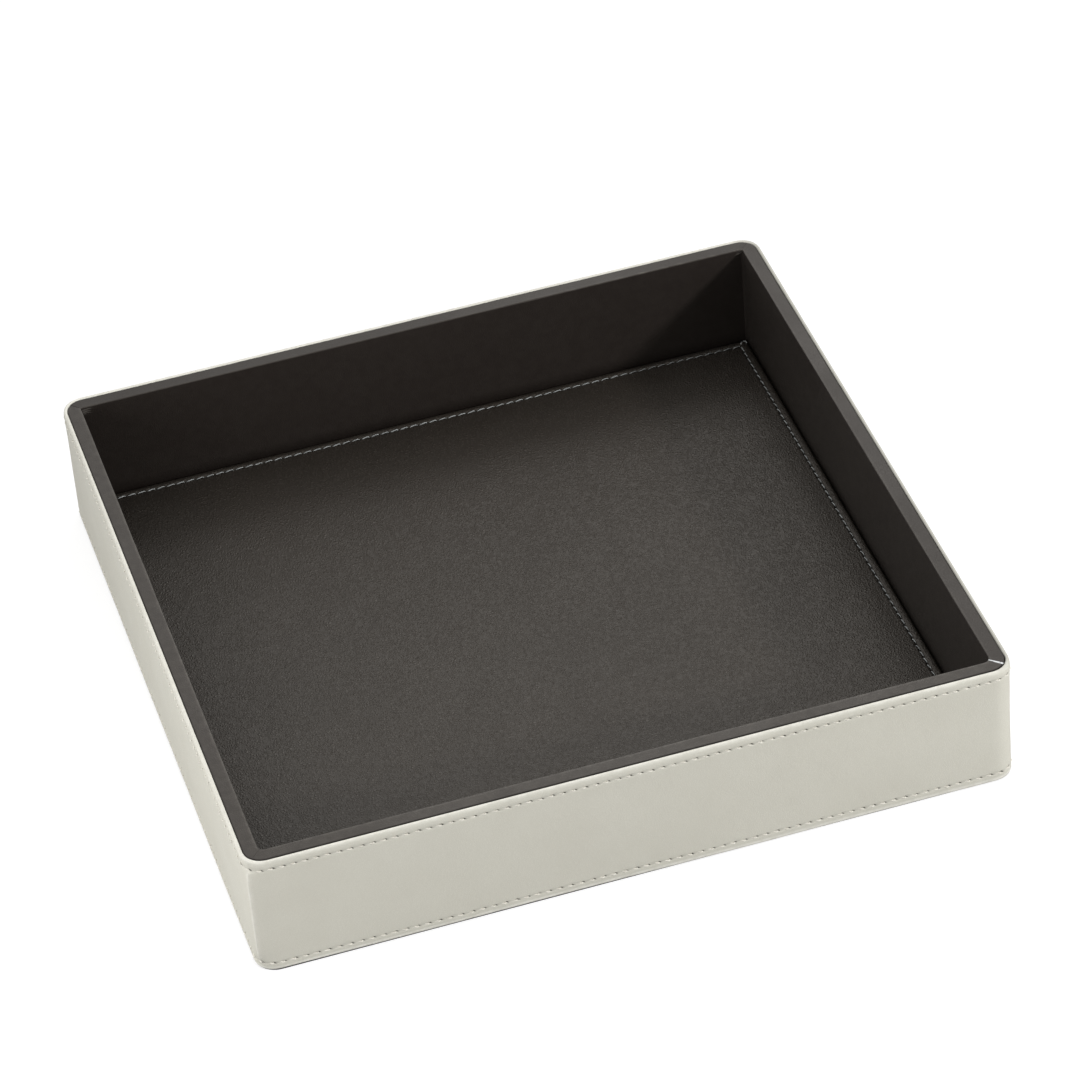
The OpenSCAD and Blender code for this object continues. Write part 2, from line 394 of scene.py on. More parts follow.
def pressed(name, light, dark, size, depth, roughness=0.85, stretch=(1, 1, 1)):
    """Board, card, foam or bonded sheet: flecks of two tones at two sizes."""
    m = Shader(name, **{"Specular IOR Level": 0.25})
    where = m.position(stretch)
    flecks = m.noise(size, detail=4.0, rough=0.7, where=where)
    broad = m.noise(size * 9, detail=2.0, where=where)
    tone = m.mix(m.map(flecks, 0.3, 0.7), light, dark)
    tone = m.mix(m.map(broad, 0.3, 0.7, 0.0, 0.4), tone, dark)
    shine = m.map(flecks, 0.2, 0.8, roughness - 0.08, roughness + 0.08)
    return m.finish(Base_Color=tone, Roughness=shine, Normal=m.bump(flecks, depth))


WARM_SHINE = (1.0, 0.94, 0.85, 1)

# Per leather: a lighter colour for wear and painted highlight, one for the needle holes' painted shade
# (the lining's is near-white glue that paints its glint too), and one for painted shade
pale_leather = leather(
    "pale_leather", colour=rgb(205, 203, 192), crease=rgb(188, 185, 173), wear_and_highlight=rgb(236, 234, 226),
    hole_shade_and_glue=rgb(26, 21, 16), painted_shade_colour=rgb(40, 32, 26), grain=0.42, grain_depth=0.034, roughness=0.40,
    wrinkle=0.08,
)
lining_leather = leather(
    "lining_leather", colour=rgb(32, 27, 25), crease=rgb(26, 22, 20), wear_and_highlight=rgb(84, 80, 74),
    hole_shade_and_glue=rgb(236, 238, 240), painted_shade_colour=rgb(12, 8, 6), grain=0.5, grain_depth=0.03, roughness=0.38,
    mottle=0.2, tint=WARM_SHINE,
)
floor_leather = leather(
    "floor_leather", colour=rgb(46, 41, 36), crease=rgb(24, 22, 20), wear_and_highlight=rgb(50, 46, 42),
    hole_shade_and_glue=rgb(8, 7, 6), painted_shade_colour=rgb(16, 14, 12), grain=0.8, grain_depth=0.11, roughness=0.33,
    mottle=0.12, tint=WARM_SHINE, uneven=0.3,
)
pale_thread = thread("pale_thread", rgb(236, 233, 224), rgb(196, 192, 180))
grey_thread = thread("grey_thread", rgb(178, 181, 180), rgb(88, 90, 89))


# The outer band: one strip of pale leather, turned in over its stiffener at both edges

# Columns across one stitch cell, from one needle hole. The coarse rows keep the first and the hole's.
CELL = np.array([-BAND_PITCH / 2, -0.85, -0.45, -0.26, -0.12, 0.0, 0.12, 0.26, 0.45, 0.85])
CELL_KEPT = (0, 5)
# Rows across a seam, from above, and columns beside the joint
SEAM_ROWS = np.array([0.95, 0.7, 0.5, 0.33, 0.2, 0.1, 0.0, -0.1, -0.2, -0.33, -0.5, -0.7, -0.95])
JOINT_ENDS = np.array([0.05, 0.12, 0.25, 0.5])
FOLD_R = BAND_T / 2
# How far the hem puffs out beside its seam, and rolls in towards its fold
HEM_PUFF = 0.07
HEM_ROLL = 0.11
# The bottom hem flares a little instead
BOTTOM_ROLL = -0.04
# Slow and short waves of the leather: height and length
BAND_SWAY = (0.07, 55)
BAND_RIPPLE = (0.02, 9)
# How far from a seam its relief reaches, and how far its needle holes stray from the line
SEAM_REACH = 4.0
HOLE_JOG = 0.035
# The two seams: height, where the hem's fold begins, the hem's puff and roll, and the seed of the holes
TOP_HOLES, BOTTOM_HOLES = 21, 22
BAND_SEAMS = (
    (TOP_SEAM, TRAY_TOP - FOLD_R, HEM_PUFF, HEM_ROLL, TOP_HOLES),
    (BOTTOM_SEAM, BAND_BOTTOM + FOLD_R, 0.0, BOTTOM_ROLL, BOTTOM_HOLES),
)
# How far the corners stand out of a round
CORNER_SQUARE = 0.16
# The pressed ridge at the front left corner, to which the left side runs on straight: its height, the
# length of the rise to it, the width of its far side, its painted highlight, partly wear, and its place
RIDGE = 1.1
RIDGE_RISE = 4.5
RIDGE_WIDTH = 1.4
RIDGE_HIGHLIGHT_AND_WEAR = 0.45
RIDGE_AT = 3 * SIDE_RUN + STRAIGHT / 2 + RIDGE_RISE
RIDGE_COLUMNS = np.array([-2.6, -1.9, -1.3, -0.8, -0.4, -0.15, 0.0, 0.15, 0.4, 0.8, 1.3, 1.9, 2.6])
# Height of the fold's turn at the bottom, and how far the band comes down at the front right
BOTTOM_TURN = 0.3
SETTLE = 0.30
# Painted highlight on both folds, partly wear. The top's has a share all round and one for the front,
# right, rear and left side
BOTTOM_HIGHLIGHT_AND_WEAR = 0.6
TOP_HIGHLIGHT_AND_WEAR = 0.1
TOP_HIGHLIGHT_AND_WEAR_BY_SIDE = (0.3, 0.0, 0.3, 0.2)
# How much of the top fold the painted shade of the gap leaves clear, all round and by side, and the
# painted shade on the fold by side
GAP_FROM = 0.88
GAP_FROM_BY_SIDE = (-0.66, -0.10, 0.0, 0.12)
GAP_BLUR = 0.3
FOLD_SHADE_BY_SIDE = (0.0, 0.26, 0.0, 0.0)


def band_columns():
    """Distances along the outside face for the fine rows, and which of them the coarse rows keep."""
    middles = JOINT + (np.arange(BAND_STITCHES) + 0.5) * BAND_PITCH
    s = (middles[:, None] + CELL).ravel()
    kept = (np.arange(BAND_STITCHES)[:, None] * len(CELL) + np.array(CELL_KEPT)).ravel()
    start, end = JOINT + JOINT_GAP / 2, JOINT + PERIMETER - JOINT_GAP / 2
    s = np.concatenate([[start], start + JOINT_ENDS, s[1:], end - JOINT_ENDS[::-1], [end]])
    extra = len(JOINT_ENDS)
    coarse = np.zeros(len(s), bool)
    coarse[:extra + 1] = coarse[-extra - 1:] = coarse[kept[1:] + extra] = True
    # The ridge adds columns to both
    ridge = RIDGE_AT + RIDGE_COLUMNS
    apart = np.abs(s[:, None] - ridge).min(axis=1) > 0.05
    coarse = np.concatenate([coarse[apart], np.ones(len(ridge), bool)])
    s = np.concatenate([s[apart], ridge])
    order = np.argsort(s)
    return s[order], np.flatnonzero(coarse[order])


def hole_offsets(s, seed):
    """For each place along a band seam: the distance from its needle hole, and the hole's own numbers."""
    index = np.floor((s - JOINT) / BAND_PITCH).astype(int)
    dx = s - JOINT - (index + 0.5) * BAND_PITCH
    r = rng(seed)
    own = r.normal(0, 1, (BAND_STITCHES, 4))[index % BAND_STITCHES]
    return dx, own


def seam_relief(dx, dz, own, slant=1.1, channel=0.06, pucker=0.06, hole=0.31, wide=0.23, tall=0.26):
    """Height of the leather by a needle hole, with the mark that it leaves. dx runs along the seam and
    dz across it; own holds the hole's random numbers."""
    dz = dz + HOLE_JOG * own[..., 0]
    size = 1 + 0.10 * own[..., 1]
    pit = bell(dx + slant * dz, wide * size) * bell(dz, tall * size)
    lift = -channel * bell(dz, 0.36)
    lift = lift - pucker * (1 + 0.2 * own[..., 2]) * bell(dx, 0.8) * bell(dz, 0.6)
    lift = lift + 0.03 * bell(np.abs(dz) - 0.8, 0.4)
    return lift - hole * pit, ramp(pit, 0.16, 0.55)


def band_sway(s, z):
    """How far leather and stitches stand out together: slow waves, and corners squarer than round."""
    _, (nx, ny) = plan(s, 0)
    return waves(s, z * 1.6, BAND_SWAY, seed=11) + CORNER_SQUARE * (2 * nx * ny) ** 2


def by_ridge(s, z):
    """Share of the ridge's height at a place, and the painted highlight along its edge, partly wear. It
    fades out below and above.
    """
    past = s - RIDGE_AT
    top = ramp(-z, -36.5, -32)
    before, after = np.maximum(1 + past / RIDGE_RISE, 0) ** 2, np.exp(-np.abs(past) / RIDGE_WIDTH)
    height = np.where(past < 0, before, after)
    return height * ramp(z, 1.5, 6) * top, RIDGE_HIGHLIGHT_AND_WEAR * bell(past + 0.1, 0.5) * ramp(z, 2, 6) * top


def band_relief(s, z):
    """Lift of the band's outside face, and its hole mark."""
    lift = band_sway(s, z) + waves(s, z, BAND_RIPPLE, seed=12)
    hole = 0.0
    for seam, edge, puff, roll, seed in BAND_SEAMS:
        if abs(z - seam) < SEAM_REACH:
            dx, own = hole_offsets(s, seed)
            own_lift, own_hole = seam_relief(dx, z - seam, own)
            lift, hole = lift + own_lift, hole + own_hole
        past = (z - seam) / (edge - seam)
        lift = lift + puff * bell(past - 0.5, 0.25) - roll * max(2 * past - 1, 0) ** 3
    lift = lift + RIDGE * by_ridge(s, z)[0]
    # The butt joint's ends are drawn in
    from_end = np.minimum(s - JOINT, JOINT + PERIMETER - s)
    return lift - 0.16 * bell(from_end, 0.22), hole


def band_rows():
    """The band's section, from the top hem's raw edge over the outside face to the bottom hem's: depth,
    height, outward and upward parts of the normal, share of the relief, and whether it is fine."""

    def fold(z, rise, angles):
        """Rows round a fold whose middle is at a height. An angle of 0 faces outward, and 90 up."""
        for a in map(math.radians, angles):
            out, up = math.cos(a), math.sin(a)
            rows.append((FOLD_R - FOLD_R * out, z + rise * up, out, up, max(out, 0), False))

    rows = [(BAND_T, TRAY_TOP - down, -1, 0, 0, False) for down in (HEM, HEM / 2)]
    fold(TRAY_TOP - FOLD_R, FOLD_R, (180, 150, 120, 95, 70, 45, 20))
    rows += [(0, TRAY_TOP - FOLD_R - down, 1, 0, 1, False) for down in (0.0, 0.13, 0.26, 0.39, 0.52)]
    rows += [(0, TOP_SEAM + dz, 1, 0, 1, True) for dz in SEAM_ROWS]
    middle = np.linspace(TOP_SEAM - 2.0, BOTTOM_SEAM + 2.0, 12)
    rows += [(0, z, 1, 0, 1, False) for z in middle]
    rows += [(0, BOTTOM_SEAM + dz, 1, 0, 1, True) for dz in SEAM_ROWS]
    rows += [(0, BAND_BOTTOM + FOLD_R + up, 1, 0, 1, False) for up in (0.52, 0.39, 0.26, 0.13, 0.0)]
    fold(BAND_BOTTOM + BOTTOM_TURN, BOTTOM_TURN, (-25, -50, -75, -105, -140, -180))
    rows += [(BAND_T, BAND_BOTTOM + up, -1, 0, 0, False) for up in (HEM / 2, HEM)]
    return rows


def outer_band():
    """The pale leather, from its joint at the rear round to it again."""
    skin = Skin("hole", "groove", "edge")
    s, kept = band_columns()
    made = []
    for depth, z, out, up, share, fine in band_rows():
        here = s if fine else s[kept]
        lift, hole = band_relief(here, min(max(z, BAND_BOTTOM + FOLD_R), TRAY_TOP - FOLD_R))
        lift = lift * share
        (x, y), (nx, ny) = plan(here, depth - lift * out)
        # Lighter along both folds and the ridge: painted highlight, partly wear
        wear_and_highlight = ramp(z, TRAY_TOP - 1.2, TRAY_TOP - 0.3) * (TOP_HIGHLIGHT_AND_WEAR + by_side(TOP_HIGHLIGHT_AND_WEAR_BY_SIDE, nx, ny))
        wear_and_highlight = wear_and_highlight + BOTTOM_HIGHLIGHT_AND_WEAR * ramp(-z, -BAND_BOTTOM - 1.3, -BAND_BOTTOM - 0.7)
        # Painted shade: the gap to the rim darkens the inner side of the top fold
        gap_from = GAP_FROM + by_side(GAP_FROM_BY_SIDE, nx, ny)
        fold_gap_shade = ramp(-out, gap_from, gap_from + GAP_BLUR) if z > TRAY_TOP / 2 else 0.0
        # Painted shade on the right side's top fold
        fold_side_shade = by_side(FOLD_SHADE_BY_SIDE, nx, ny) * ramp(z, TRAY_TOP - 0.9, TRAY_TOP - 0.3)
        edge = np.maximum(wear_and_highlight, by_ridge(here, z)[1]) * (1 - fold_gap_shade)
        settle = SETTLE * ramp(-z, -2.0, -0.9) * ramp(x, -60, 60) * np.maximum(-ny, 0)
        dark = np.maximum(fold_gap_shade, fold_side_shade)
        row = skin.row(x, y, z + lift * up - settle, hole=hole, groove=dark, edge=edge)
        made.append((row, fine))
    # The flesh side follows the stiffener back up
    back = BAND_LEATHER + STIFFENER
    low, high = BAND_BOTTOM + BAND_LEATHER, TRAY_TOP - BAND_LEATHER
    flesh = ((back, BAND_BOTTOM + HEM), (back, low), (BAND_LEATHER, low), (BAND_LEATHER, TRAY_TOP / 2),
             (BAND_LEATHER, high), (back, high), (back, TRAY_TOP - HEM))
    for depth, z in flesh:
        (x, y), _ = plan(s[kept], depth)
        made.append((skin.row(x, y, z), False))
    for (a, fine_a), (b, fine_b) in zip(made, made[1:] + made[:1]):
        if fine_a == fine_b:
            skin.strip(a, b)
        elif fine_a:
            skin.step(a, b, kept)
        else:
            skin.step(b, a, kept, flip=True)
    skin.cap([row[0] for row, _ in made])
    skin.cap([row[-1] for row, _ in made][::-1])
    return place(skin.build("outer_band", pale_leather), "pale_leather", "outer_leather_band")


# Stitches

THREAD_SIDES = 12
# Length of one turn of the plies, and how far they stand out of the thread's round
PLY_TURN = 1.25
PLY_DEPTH = 0.15
# Height of a thread over its width, as it is pressed on the leather
SQUASH = 0.86
# The band's thread, and how far its stitches begin after their left hole and end before their right one
BAND_THREAD_R = 0.19
BAND_REACH = (0.16, 0.24)


def tubes(name, centres, outward, radius, material):
    """Twisted two-ply threads. centres is stitches by rings by 3, in millimetres, and outward is the
    direction away from the leather at each of them."""
    along = np.gradient(centres, axis=1)
    along /= np.linalg.norm(along, axis=2, keepdims=True)
    side = np.cross(along, outward)
    side /= np.linalg.norm(side, axis=2, keepdims=True)
    up = np.cross(side, along)
    steps = np.linalg.norm(np.diff(centres, axis=1), axis=2)
    length = np.concatenate([np.zeros((len(centres), 1)), np.cumsum(steps, axis=1)], axis=1)
    theta = np.arange(THREAD_SIDES) * 2 * math.pi / THREAD_SIDES
    turn = length[..., None] * 2 * math.pi / PLY_TURN + np.arange(len(centres))[:, None, None]
    r = radius[..., None] * (1 + PLY_DEPTH * np.cos(2 * (theta - turn)))
    points = centres[:, :, None] + (r * np.cos(theta) * SQUASH)[..., None] * up[:, :, None]
    points = points + (r * np.sin(theta))[..., None] * side[:, :, None]
    skin = Skin("sunk")
    rings = centres.shape[1]
    ends = np.abs(np.linspace(-1, 1, rings))
    for stitch in points:
        # The mark sunk darkens each stitch's ends, where they dive into the holes: painted shade
        rows = [skin.row(*ring.T, sunk=ramp(e, 0.8, 1.0) * 0.7) for ring, e in zip(stitch, ends)]
        for a, b in zip(rows, rows[1:]):
            skin.strip(a, b, closed=True)
        skin.cap(rows[0][::-1])
        skin.cap(rows[-1])
    return skin.build(name, material)


def band_seam(name, node, seam, seed):
    """The stitches of one seam round the band. Each one rises slowly out of its left hole, lies proud by
    its right one and dips into it, with a slight slant."""
    t = np.array([0, 0.04, 0.09, 0.16, 0.25, 0.35, 0.45, 0.55, 0.65, 0.75, 0.83, 0.89, 0.94, 0.975, 1.0])
    rise = np.interp(t, [0, 0.05, 0.2, 0.45, 0.6, 0.75, 0.88, 0.95, 1.0],
                     [-0.50, -0.40, -0.32, -0.25, -0.14, 0.07, 0.15, 0.02, -0.42])
    r = rng(seed + 50)
    own = r.normal(0, 1, (BAND_STITCHES, 3))
    start = JOINT + (np.arange(BAND_STITCHES) + 0.5) * BAND_PITCH
    _, holes = hole_offsets(start, seed)
    jog = -HOLE_JOG * holes[:, 0]
    after = np.roll(jog, -1)
    s = start[:, None] + BAND_REACH[0] + t * (BAND_PITCH - sum(BAND_REACH))
    slant = -0.06 + 0.03 * own[:, :1]
    z = seam + slant * (2 * ramp(t, 0.0, 1.0) - 1) + jog[:, None] * (1 - t) + after[:, None] * t
    out = rise + 0.02 * own[:, 1:2] * np.sin(math.pi * t) + band_sway(s, z)
    (x, y), (nx, ny) = plan(s, -out)
    radius = BAND_THREAD_R * (1 - 0.28 * ramp(np.abs(2 * t - 1), 0.86, 1.0)) * (1 + 0.04 * own[:, 2:])
    centres = np.stack([x, y, z], axis=2)
    outward = np.stack([nx, ny, np.zeros_like(nx)], axis=2)
    return place(tubes(name, centres, outward, radius, pale_thread), "pale_thread", node)


# The linings: one dark strip a side, up the inside, over the rim and down behind the band

# Gap from the band to the rim and to the edge behind the band, radius of the rim's inner and outer
# edge, and gap between two linings
RIM_GAP = 0.1
DEEP_GAP = 0.05
RIM_IN_R = 0.3
RIM_OUT_R = 0.2
MITRE_GAP = 0.05
# Points deeper than this are on the inside face, and normals that point up more than this on the rim
INSIDE_FROM = WALL_T - 0.2
RIM_UP = 0.3
# For the front, right, rear and left lining: painted sheen of the rim, partly wear, painted highlight
# along its inner edge, and painted light on the inside face
RIM_SHEEN_AND_WEAR = (0.28, 0.07, 0.0, 0.21)
EDGE_HIGHLIGHT = (0.3, 0.1, 0.1, 0.3)
INSIDE_LIGHT = (0.0, 0.12, 0.07, 0.0)
# Painted shade on each rim by the gap to the band: how dark, and how far in
GAP_SHADE = (1.0, 0.5, 0.1, 0.9)
GAP_SHADE_WIDTH = (0.58, 0.3, 0.3, 0.36)
# Radius of the inside corners, seen from above, at the right end of each side
INSIDE_R = (1.8, 0.5, 0.5, 1.7)
# Painted highlight on a crease's crest, partly whitening of the leather, and painted shade in its trough,
# for each millimetre of its height, and wear of the rear rim's specks
FOLD_LIGHT_AND_SHADE = 3.6
SPECK_WEAR = 0.5
# Painted shade at the foot of the inside faces, in their corners and towards the rear wall's left end
FOOT_SHADE = 0.7
CORNER_SHADE = 0.7
LEFT_END_SHADE = 0.3
# Height of the glue that stands out of the open mitre
GLUE = 0.12
# Distances from a lining's end, close together at the mitre
MITRE_COLUMNS = np.array([0.0, 0.05, 0.12, 0.22, 0.36, 0.55, 0.8, 1.15, 1.6, 2.1, 2.7, 3.4, 4.1])
# Distances from the straight part's ends, close together where the folds are
FOLD_COLUMNS = np.array([-0.3, 0.0, 0.15, 0.3, 0.45, 0.6, 0.75, 0.9, 1.1,
                         1.3, 1.5, 1.75, 2.0, 2.3, 2.6, 3.0, 3.5, 4.2])
# Slow and short waves of the leather: height and length
LINING_SWAY = (0.05, 42)
LINING_RIPPLE = (0.015, 7)
# How far round the corner the creases under the rear rim begin, and for each of them the drop below the
# rim, tilt, height, width and reach
CREASE_START = 0.3
LEFT_FOLDS = (
    (0.75, 0.08, 0.24, 0.17, 4.2), (1.40, 0.16, 0.28, 0.20, 3.4), (2.15, 0.05, 0.20, 0.2, 3.8),
)
RIGHT_FOLDS = ((0.45, 0.42, -0.30, 0.17, 2.6), (0.20, 0.36, 0.16, 0.14, 2.2))


def lining_rows():
    """The lining's section, from the foot of the inside face over the rim to the raw edge behind the
    band: depth, height, outward and upward parts of the normal."""
    edge = RIM_TOP - RIM_IN_R
    inside = (FLOOR_BOTTOM, 4.5, 6.0, 9.0, 13.0, 17.0, 21.0, 25.0, 28.0, 30.5, 32.5)
    rows = [(WALL_T, z, -1, 0) for z in inside]
    rows += [(WALL_T, edge - down, -1, 0) for down in (3.8, 3.2, 2.8, *np.linspace(2.5, 0, 21))]
    for angle in (160, 140, 120, 105, 90):
        a = math.radians(angle)
        rows.append((WALL_T - RIM_IN_R - RIM_IN_R * math.cos(a), edge + RIM_IN_R * math.sin(a),
                     math.cos(a), math.sin(a)))
    outer = BAND_T + RIM_GAP
    flat_in, flat_out = WALL_T - RIM_IN_R, outer + RIM_OUT_R
    rows += [(depth, RIM_TOP, 0, 1) for depth in np.linspace(flat_in, flat_out + 0.6, 6)[1:]]
    rows += [(flat_out + inward, RIM_TOP, 0, 1) for inward in (0.4, 0.22, 0.1, 0.0)]
    for angle in (70, 45, 20, 0):
        a = math.radians(angle)
        depth, z = flat_out - RIM_OUT_R * math.cos(a), RIM_TOP - RIM_OUT_R + RIM_OUT_R * math.sin(a)
        rows.append((depth, z, math.cos(a), math.sin(a)))
    rows += [(outer - 0.15, RIM_TOP - 1.2, 1, 0)]
    rows += [(BAND_T + DEEP_GAP, z, 1, 0) for z in (RIM_TOP - 3.5, RIM_TOP - TURN_DOWN)]
    return rows


def tuck(u, w, folds):
    """Height of small creases in an inside corner, just under the rim: u is the distance from the corner
    along the wall and w the distance below the rim."""
    lift = np.zeros_like(u)
    for drop, tilt, height, width, far in folds:
        fold = w - drop - tilt * u - 0.12 * np.sin(1.7 * u + drop)
        crest = bell(fold, width) - 0.6 * bell(fold - 1.6 * width, width)
        lift = lift + height * crest * ramp(-u, -far, -0.2 * far)
    return lift


def rear_folds(local, z):
    """Height of the creases at both ends of the rear wall."""
    u = np.maximum(STRAIGHT / 2 + CREASE_START - np.abs(local), 0)
    w = RIM_TOP - z
    return np.where(local > 0, tuck(u, w, LEFT_FOLDS), tuck(u, w, RIGHT_FOLDS))


def lining_plan(local, depth, side):
    """Point on one side's lining, local millimetres from its middle along the outside face. The corner's
    radius goes from the outside's to the inside corner's own."""
    inside = np.where(local > 0, INSIDE_R[side], INSIDE_R[(side - 1) % 4])
    share = np.clip((depth - BAND_T) / (WALL_T - BAND_T), 0, 1.1)
    r = (CORNER_R - BAND_T) * (1 - share) + inside * share
    straight = HALF - depth - r
    angle = np.maximum(np.abs(local) - STRAIGHT / 2, 0) / CORNER_R
    x = np.minimum(np.abs(local) / (STRAIGHT / 2), 1) * straight + r * np.sin(angle)
    return turned(np.sign(local) * x, -straight - r * np.cos(angle), side)


def speckle(local):
    """Small light specks along the rear rim, near its right end."""
    return ramp(-local, 35, 60) * np.maximum(drift(local, local, 1.6, 97), 0)


def lining_marks(side, local, depth, z, out, up, folds):
    """Light and shade marks of a row. The rim is lighter by painted sheen, partly wear, its inner edge
    and the creases' crests by painted highlight, and the inside face by painted light. The rear rim has
    worn specks. Painted shade darkens it by the gap to the band, at the foot, in the inside corners,
    towards the rear wall's left end and in the creases' troughs."""
    rim = up > RIM_UP
    from_edge = depth - (WALL_T - RIM_IN_R)
    # Painted sheen, partly wear, on the rim, painted highlight on its inner edge, painted light inside
    edge = RIM_SHEEN_AND_WEAR[side] * ramp(up, 0.6, 1.0) + EDGE_HIGHLIGHT[side] * bell(from_edge, 0.35) * rim
    edge = edge + INSIDE_LIGHT[side] * (out < 0) + FOLD_LIGHT_AND_SHADE * np.maximum(folds, 0)
    # Painted shade where the lining faces the band, and on the rim by the gap
    by_gap = (BAND_T + RIM_GAP + GAP_SHADE_WIDTH[side] - depth) / GAP_SHADE_WIDTH[side]
    groove = max(ramp(out, 0.4, 0.9), GAP_SHADE[side] * ramp(by_gap, 0.0, 0.7) * rim)
    # Painted shade in the inside corners, and towards the rear wall's left end
    corner = CORNER_SHADE * ramp(np.abs(local) - SIDE_RUN / 2, -1.3, -0.5)
    if side == REAR:
        edge = edge + SPECK_WEAR * rim * bell(from_edge, 0.25) * speckle(local)
        corner = corner + LEFT_END_SHADE * ramp(local, 50, 100)
    if depth > INSIDE_FROM:
        groove = np.maximum(groove, np.maximum(FOOT_SHADE * ramp(-z, -7.5, -5.5), corner))
    # Painted shade in the creases' troughs
    return edge, np.maximum(groove, -FOLD_LIGHT_AND_SHADE * folds)


def wall_lining(side):
    """One side's lining. At the front end of the right side's the mitre is open and has glue in it, whose
    near-white is partly a painted highlight.
    """
    skin = Skin("hole", "groove", "edge")
    half_run = SIDE_RUN / 2
    straight = np.linspace(-STRAIGHT / 2, STRAIGHT / 2, 120)
    ends = half_run - MITRE_COLUMNS
    creased = STRAIGHT / 2 - FOLD_COLUMNS
    local = np.unique(np.round(np.concatenate([straight, ends, -ends, creased, -creased]), 6))
    s = local * (half_run - MITRE_GAP / 2) / half_run
    from_end = half_run - np.abs(local)
    open_end = (local < 0) if side == RIGHT else np.zeros(len(local), bool)
    made = []
    for depth, z, out, up in lining_rows():
        folds = rear_folds(local, z) if side == REAR and depth > INSIDE_FROM else np.zeros(len(local))
        lift = waves(local, z, LINING_SWAY, 31 + side)
        lift = lift + waves(local, z + depth, LINING_RIPPLE, 41 + side)
        lift = lift - np.where(open_end, 0.14, 0.05) * bell(from_end, 0.16) + folds
        glued = open_end * ramp(up, 0.2, 0.8)
        lift = lift + GLUE * glued * bell(from_end - 0.2, 0.35)
        # The glue's streak takes the lining's near-white hole colour, which also paints the mitre's glint
        glue_and_glint = glued * ramp(-from_end, -0.85, -0.5) * ramp(drift(depth, depth, 1.4, 95), -0.7, 0.0)
        edge, groove = lining_marks(side, local, depth, z, out, up, folds)
        x, y = lining_plan(s, depth - lift * out, side)
        made.append(skin.row(x, y, z + lift * up, hole=glue_and_glint, groove=groove, edge=edge))
    # The flesh side lies on the board
    outer = BAND_T + LINING_T
    top = RIM_TOP - LINING_T
    for depth, z in ((outer, RIM_TOP - TURN_DOWN), (outer, 33.0), (outer, top), (BOARD_IN, top),
                     (BOARD_IN, 30.0), (BOARD_IN, 12.0), (BOARD_IN, FLOOR_BOTTOM)):
        made.append(skin.row(*lining_plan(s, depth, side), z))
    for a, b in zip(made, made[1:] + made[:1]):
        skin.strip(a, b)
    skin.cap([row[0] for row in made])
    skin.cap([row[-1] for row in made][::-1])
    name = SIDE_NAMES[side]
    return place(skin.build(name + "_lining", lining_leather), "lining_leather", name + "_wall_lining")


# The floor pad

# Columns across one stitch cell, as shares of the pitch, and rows across the seam
PAD_CELL = np.array([-0.5 * PAD_PITCH, -0.8, -0.45, -0.26, -0.12, 0.0, 0.12, 0.26, 0.45, 0.8])
PAD_CELL /= PAD_PITCH
PAD_SEAM_ROWS = np.array([-0.95, -0.65, -0.42, -0.27, -0.16, -0.08, 0.0,
                          0.08, 0.16, 0.27, 0.42, 0.65, 0.95])
# Slow and short waves of the leather: height and length
PAD_SWAY = (0.07, 60)
PAD_RIPPLE = (0.03, 14)
# The needle holes' pits, the painted shade in the channel, at the edge and by the left wall, the height
# of the crown, and how full the pad is
PAD_PITS = {"slant": 0.0, "channel": 0.20, "pucker": 0.10, "hole": 0.3, "wide": 0.5, "tall": 0.24}
CHANNEL_SHADE = 0.55
PAD_EDGE_SHADE = 0.7
PAD_LEFT_SHADE = 0.35
PAD_CROWN = 0.25
# For each side's stitches: how far they keep from their holes, and how far they turn against the seam
PAD_REACH = (0.19, 0.44, 0.19, 0.44)
PAD_SLANT = (0.31, 0.19, 0.31, 0.19)
PAD_THREAD_R = 0.145
# The loose ends of the thread by the rear right corner's hole: across, back and up from it
LOOSE_ENDS = (
    ((0.25, 0.65, -0.2), (0.35, 0.95, 0.18), (0.6, 1.3, 0.16), (0.9, 1.65, -0.1)),
    ((1.2, 1.95, -0.2), (1.6, 1.75, 0.08), (1.95, 1.3, 0.05), (2.15, 0.8, -0.3)),
)
LOOSE_R = 0.13


def pad_plan(share, depth, side):
    """Point on a ring round the pad: share runs from -1 to 1 along a side, depth inward from the edge."""
    half, r = PAD_HALF - depth, max(PAD_R - depth, 0)
    along = share * half
    past = np.maximum(np.abs(along) - (half - r), 0)
    angle = past / r * math.pi / 4 if r > 0 else past
    x = np.sign(along) * (np.minimum(np.abs(along), half - r) + r * np.sin(angle))
    y = -(half - r) - r * np.cos(angle)
    return turned(x, y, side)


def pad_sway(x, y):
    """Slow waves that the pad's leather and its stitches share."""
    return waves(x, y, PAD_SWAY, seed=71)


